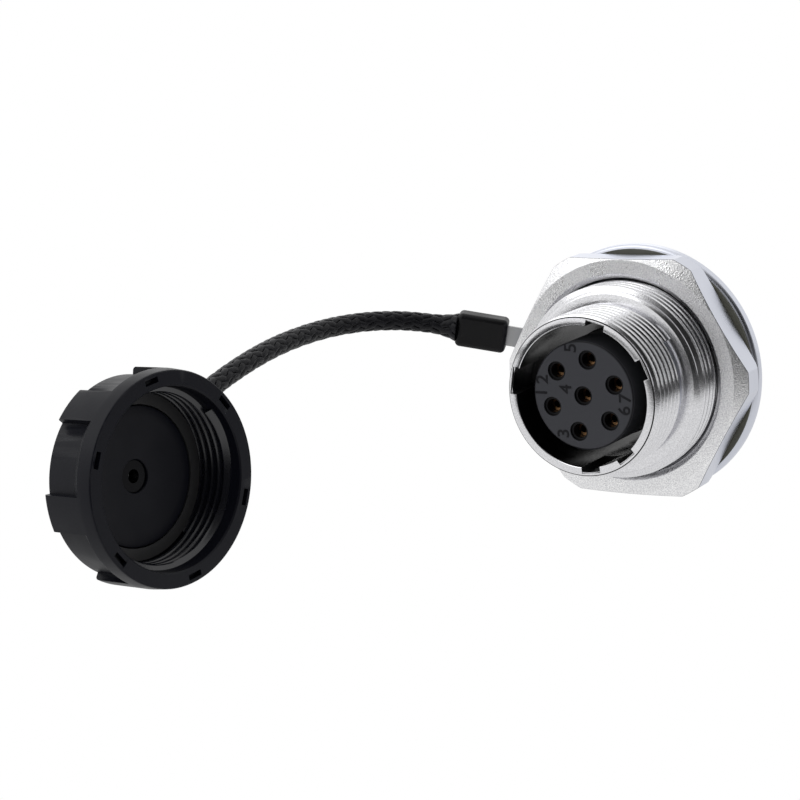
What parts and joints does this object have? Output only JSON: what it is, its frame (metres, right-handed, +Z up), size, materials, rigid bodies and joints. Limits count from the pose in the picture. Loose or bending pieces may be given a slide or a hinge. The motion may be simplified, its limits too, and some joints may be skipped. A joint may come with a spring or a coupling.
{
  "type": "circular panel receptacle with tethered cap",
  "caption": "Keyed circular multi-contact receptacle for a panel hole, with a thin hexagon nut, gasket and a screw cap held by a braided lanyard.",
  "frame": {"origin": "centre of the flange's front face, the seat that the gasket and panel bear on", "axes": "+Y from the mouth of the receptacle towards its rear, -Y towards the mating plug; +Z up, square to two of the nut's flats; +X to the right seen from the front"},
  "size_m": [0.0516, 0.0774, 0.0302],
  "materials": {
    "plated_shell": "satin nickel plating",
    "plated_nut": "blasted and plated face, smoother flats",
    "steel_strip": "plain rolled",
    "steel_rivet": "nickel plated",
    "gold_contact": "gold plated",
    "insert_plastic": "moulded, slightly matt",
    "gasket_rubber": "matt",
    "black_rubber": "matt",
    "cap_plastic": "moulded, soft sheen",
    "sleeve_plastic": "moulded, soft sheen",
    "cord_braid": "braided"
  },
  "bodies": {
    "receptacle": {"receptacle_shell": "plated_shell", "panel_gasket": "gasket_rubber", "insulator_front": "insert_plastic", "insulator_rear": "insert_plastic", "insert_seal": "black_rubber", "retaining_ring": "plated_shell", "contact_1": "gold_contact", "contact_2": "gold_contact", "contact_3": "gold_contact", "contact_4": "gold_contact", "contact_5": "gold_contact", "contact_6": "gold_contact", "contact_7": "gold_contact"},
    "nut": {"panel_nut": "plated_nut"},
    "lanyard": {"lanyard_ring": "steel_strip", "ring_sleeve": "sleeve_plastic", "lanyard_cord": "cord_braid", "cap_sleeve": "sleeve_plastic", "cap_eyelet": "steel_strip"},
    "cap": {"cap_body": "cap_plastic", "cap_seal": "black_rubber", "cap_rivet": "steel_rivet"}
  },
  "joints": [
    {"name": "nut_turn", "type": "hinge", "parent": "receptacle", "child": "nut", "pos_m": [0, -0.0025, 0], "axis": [0, -1, 0], "range_deg": [0, 2250]},
    {"name": "lanyard_swivel", "type": "hinge", "parent": "receptacle", "child": "lanyard", "pos_m": [0, -0.0005, 0], "axis": [0, -1, 0], "continuous": true},
    {"name": "cap_swivel", "type": "hinge", "parent": "lanyard", "child": "cap", "pos_m": [-0.0262, -0.0572, -0.0014], "axis": [-0.9852, 0.1614, -0.0571], "continuous": true}
  ]
}
